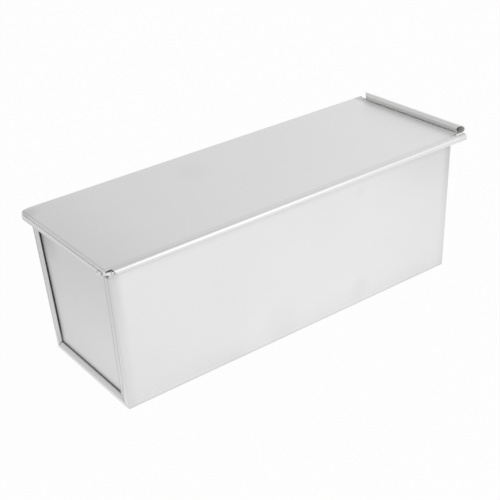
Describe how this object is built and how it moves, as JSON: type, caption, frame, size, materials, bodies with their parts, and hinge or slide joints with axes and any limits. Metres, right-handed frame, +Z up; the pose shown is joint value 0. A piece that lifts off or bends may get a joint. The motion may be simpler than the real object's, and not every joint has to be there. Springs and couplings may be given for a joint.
{
  "type": "loaf pan",
  "caption": "Long straight-sided loaf pan in satin sheet metal with lock-seamed end panels, a wire-rolled rim and a sliding lid with a curled handle edge.",
  "frame": {"origin": "centre of the flat underside the pan stands on", "axes": "+X along the pan towards the end with the lid's handle curl, +Y across the pan, +Z up"},
  "size_m": [0.3341, 0.1282, 0.1238],
  "materials": {
    "pan_sheet": "satin",
    "end_sheet": "satin",
    "lid_sheet": "satin",
    "wire": "drawn wire"
  },
  "bodies": {
    "pan": {"pan_body": "pan_sheet", "front_end_panel": "end_sheet", "handle_end_panel": "end_sheet", "rim_wire": "wire"},
    "lid": {"sliding_lid": "lid_sheet"}
  },
  "joints": [
    {"name": "lid_slide", "type": "slide", "parent": "pan", "child": "lid", "axis": [1, 0, 0], "range_m": [0, 0.335]}
  ]
}
